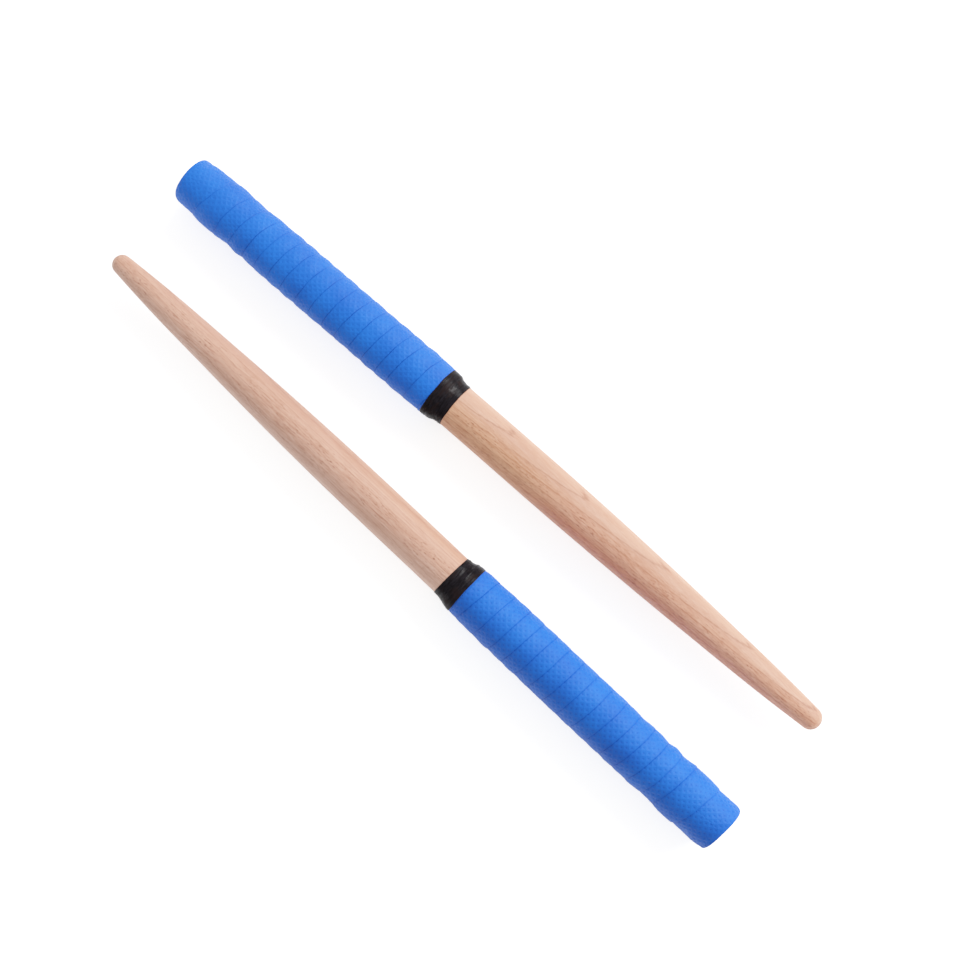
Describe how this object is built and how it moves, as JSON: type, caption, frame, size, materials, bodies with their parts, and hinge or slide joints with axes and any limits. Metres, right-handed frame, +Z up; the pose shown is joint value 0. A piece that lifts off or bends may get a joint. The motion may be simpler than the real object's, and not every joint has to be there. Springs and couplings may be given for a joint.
{
  "type": "training sticks",
  "caption": "Loose tapered hardwood sticks with rounded tips; handle halves wound with perforated grip tape under a narrow finishing tape; held for tapping and focus drills.",
  "frame": {"origin": "on the floor under the middle of the pair's bounding box", "axes": "+X along the pair, towards the first stick's tip; +Y from the second stick to the first; +Z up. The sticks lie on z = 0, pointing opposite ways"},
  "size_m": [0.3512, 0.0788, 0.0243],
  "materials": {
    "beech": "matte",
    "blue_overgrip": "matte",
    "black_tape": "gloss",
    "adhesive_tab": "matte"
  },
  "bodies": {
    "stick_1": {"stick_1_shaft": "beech", "stick_1_starter_tab": "adhesive_tab", "stick_1_overgrip": "blue_overgrip", "stick_1_finishing_tape": "black_tape"},
    "stick_2": {"stick_2_shaft": "beech", "stick_2_starter_tab": "adhesive_tab", "stick_2_overgrip": "blue_overgrip", "stick_2_finishing_tape": "black_tape"}
  },
  "joints": [
    {"name": "stick_2_lift", "type": "slide", "parent": "stick_1", "child": "stick_2", "axis": [0, 0, 1], "range_m": [0, 0.2]}
  ]
}
